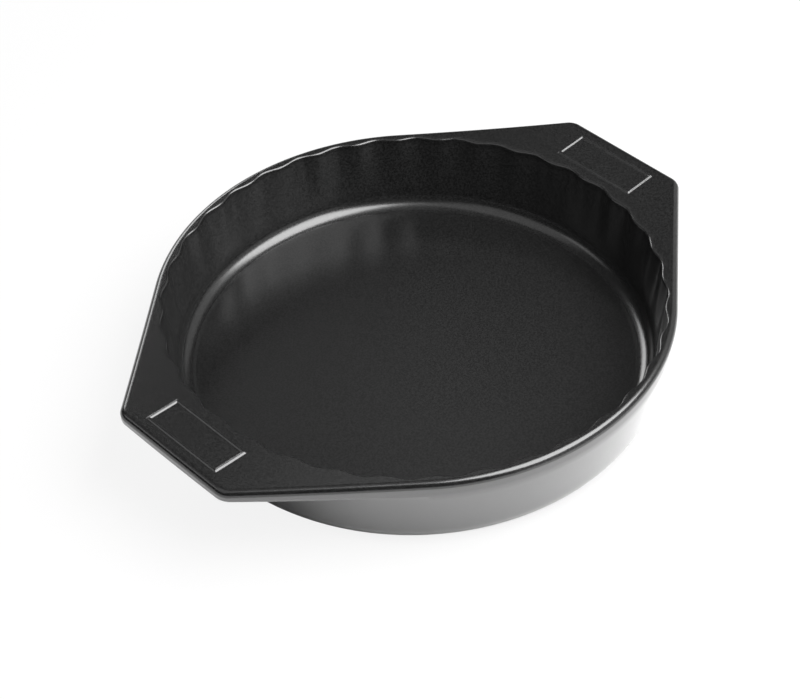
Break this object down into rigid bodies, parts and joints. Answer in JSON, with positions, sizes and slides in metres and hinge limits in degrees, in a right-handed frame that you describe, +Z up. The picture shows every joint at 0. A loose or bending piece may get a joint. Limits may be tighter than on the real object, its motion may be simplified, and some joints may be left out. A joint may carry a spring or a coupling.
{
  "type": "baking dish",
  "caption": "Round fluted ceramic baking dish with a flat floor, a straight tapering wall and a flat handle with a raised frame at each end.",
  "frame": {"origin": "centre of the foot, on the surface that the dish stands on", "axes": "+X through both handles, +Z up out of the dish"},
  "size_m": [0.337, 0.28, 0.0548],
  "materials": {
    "glazed_stoneware": "black satin glaze over stoneware"
  },
  "bodies": {
    "root": {"baking_dish": "glazed_stoneware"}
  },
  "joints": []
}
